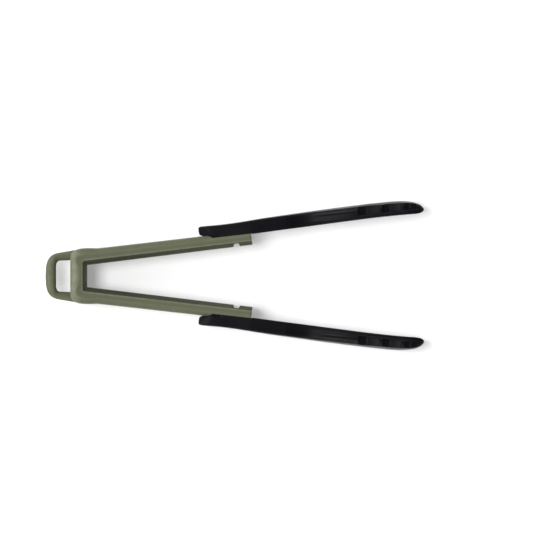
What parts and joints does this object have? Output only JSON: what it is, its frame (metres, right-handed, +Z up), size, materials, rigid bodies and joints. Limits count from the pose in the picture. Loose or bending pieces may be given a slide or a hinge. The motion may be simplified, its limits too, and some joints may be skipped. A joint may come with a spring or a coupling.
{
  "type": "spring loaded kitchen tongs",
  "caption": "Kitchen tongs with a hanging loop, two sprung soft-grip arms hinged at the tail block, and broad jaws with scalloped edges.",
  "frame": {"origin": "middle of the resting face: halfway along the closed length of the open tongs, on the middle plane between the arms, at the underside", "axes": "the left and right halves mirror each other across the plane Y = 0; +X from the hanging loop at the tail to the jaw tips, +Y to the left arm (seen from the tail with +Z up), +Z up, along the hinge pins"},
  "size_m": [0.29, 0.1128, 0.03],
  "materials": {
    "soft_green": "matt soft-touch, sage green",
    "olive_liner": "matt, dark olive",
    "black_nylon": "satin moulded nylon, black",
    "nylon_core": "as moulded, dark grey",
    "steel": "bright stainless",
    "spring_steel": "drawn wire",
    "bush_nylon": "natural nylon"
  },
  "bodies": {
    "tail": {"hanging_loop": "soft_green", "tail_core": "nylon_core", "tail_skin": "soft_green", "tail_liner": "olive_liner", "tail_screws": "steel", "left_hinge_pin": "steel", "right_hinge_pin": "steel", "left_spring_bush": "bush_nylon", "right_spring_bush": "bush_nylon", "left_torsion_spring": "spring_steel", "right_torsion_spring": "spring_steel"},
    "left_arm": {"left_arm_core": "nylon_core", "left_arm_skin": "soft_green", "left_arm_liner": "olive_liner", "left_jaw": "black_nylon", "left_jaw_screws": "steel"},
    "right_arm": {"right_arm_core": "nylon_core", "right_arm_skin": "soft_green", "right_arm_liner": "olive_liner", "right_jaw": "black_nylon", "right_jaw_screws": "steel"}
  },
  "joints": [
    {"name": "left_arm_swing", "type": "hinge", "parent": "tail", "child": "left_arm", "pos_m": [-0.108, 0.0149, 0.015], "axis": [0, 0, -1], "range_deg": [0, 10.8], "stiffness_Nm_per_rad": 2, "springref_deg": -5.73, "deforming": ["left_torsion_spring"]},
    {"name": "right_arm_swing", "type": "hinge", "parent": "tail", "child": "right_arm", "pos_m": [-0.108, -0.0149, 0.015], "axis": [0, 0, 1], "range_deg": [0, 10.8], "stiffness_Nm_per_rad": 2, "springref_deg": -5.73, "deforming": ["right_torsion_spring"]}
  ]
}
